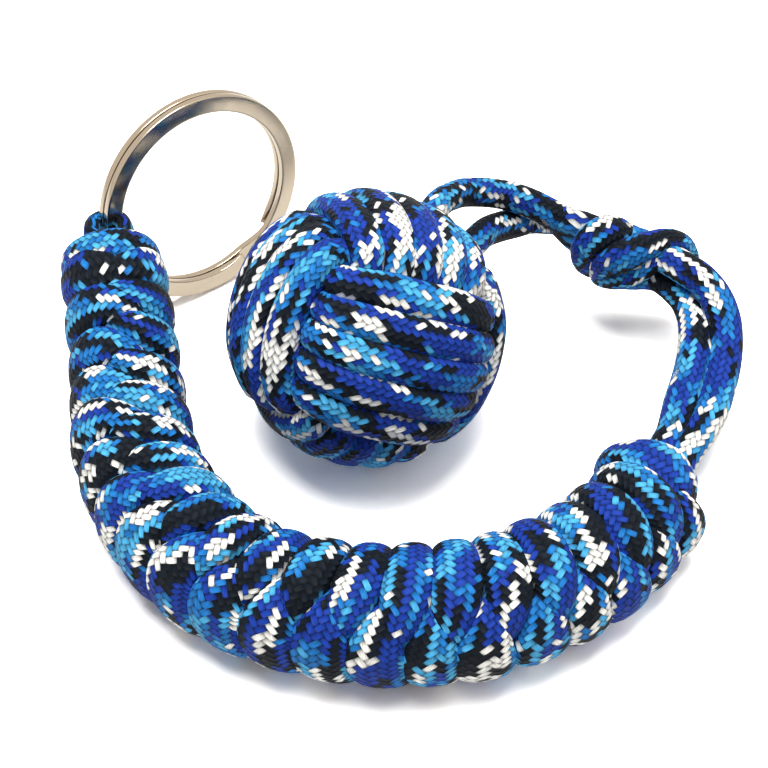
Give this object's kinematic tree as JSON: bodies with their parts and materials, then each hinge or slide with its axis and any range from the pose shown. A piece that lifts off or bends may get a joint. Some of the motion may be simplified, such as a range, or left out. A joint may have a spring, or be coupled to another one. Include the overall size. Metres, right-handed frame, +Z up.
{
  "type": "monkey fist key chain",
  "caption": "Braided-cord key chain: a split ring in a cord loop, a stiff curved bar of wound cord, a short lanyard with an overhand knot and a round monkey's fist over a steel ball.",
  "frame": {"origin": "middle of the bounding box at the table it lies on", "axes": "+Z up from the table; +X across the curved bar from the ring's side to the lanyard's side; +Y from the bend of the bar towards the ring and the knot"},
  "size_m": [0.0976, 0.0904, 0.0374],
  "materials": {
    "royal_blue_cord": "braided nylon cord, royal blue with black and white flecks",
    "azure_cord": "braided nylon cord, azure with black and white flecks",
    "core_cord": "braided nylon cord hidden in the bar",
    "polished_steel": "polished"
  },
  "bodies": {
    "bar": {"core_strand_a": "core_cord", "core_strand_b": "core_cord", "bar_wrap_a": "royal_blue_cord", "bar_wrap_b": "azure_cord"},
    "loop": {"end_loop": "azure_cord"},
    "ring": {"split_ring": "polished_steel"},
    "lower_lanyard": {"lower_leg_a": "azure_cord", "lower_leg_b": "azure_cord", "overhand_knot": "royal_blue_cord"},
    "upper_lanyard": {"upper_leg_a": "azure_cord", "upper_leg_b": "azure_cord"},
    "fist": {"fist_wraps_front": "royal_blue_cord", "fist_wraps_left": "azure_cord", "fist_wraps_top": "royal_blue_cord", "core_ball": "polished_steel"}
  },
  "joints": [
    {"name": "loop_twist", "type": "hinge", "parent": "bar", "child": "loop", "pos_m": [-0.04182, 0.01861, 0.01831], "axis": [-0.1739, 0.925, 0.3379], "range_deg": [-30, 30]},
    {"name": "ring_swing", "type": "hinge", "parent": "loop", "child": "ring", "pos_m": [-0.04307, 0.02455, 0.01925], "axis": [0.0408, 0.1751, 0.9837], "range_deg": [-15, 85]},
    {"name": "lanyard_bend", "type": "hinge", "parent": "bar", "child": "lower_lanyard", "pos_m": [0.04003, -0.00513, 0.00786], "axis": [0.9109, -0.4125, 0], "range_deg": [-12, 35]},
    {"name": "knot_bend", "type": "hinge", "parent": "lower_lanyard", "child": "upper_lanyard", "pos_m": [0.02429, 0.02735, 0.01564], "axis": [0.0186, -0.0077, 0.9998], "range_deg": [-18, 18]},
    {"name": "fist_swing", "type": "hinge", "parent": "upper_lanyard", "child": "fist", "pos_m": [0.00724, 0.02005, 0.01978], "axis": [0.3627, -0.212, -0.9075], "range_deg": [-32, 20]}
  ]
}
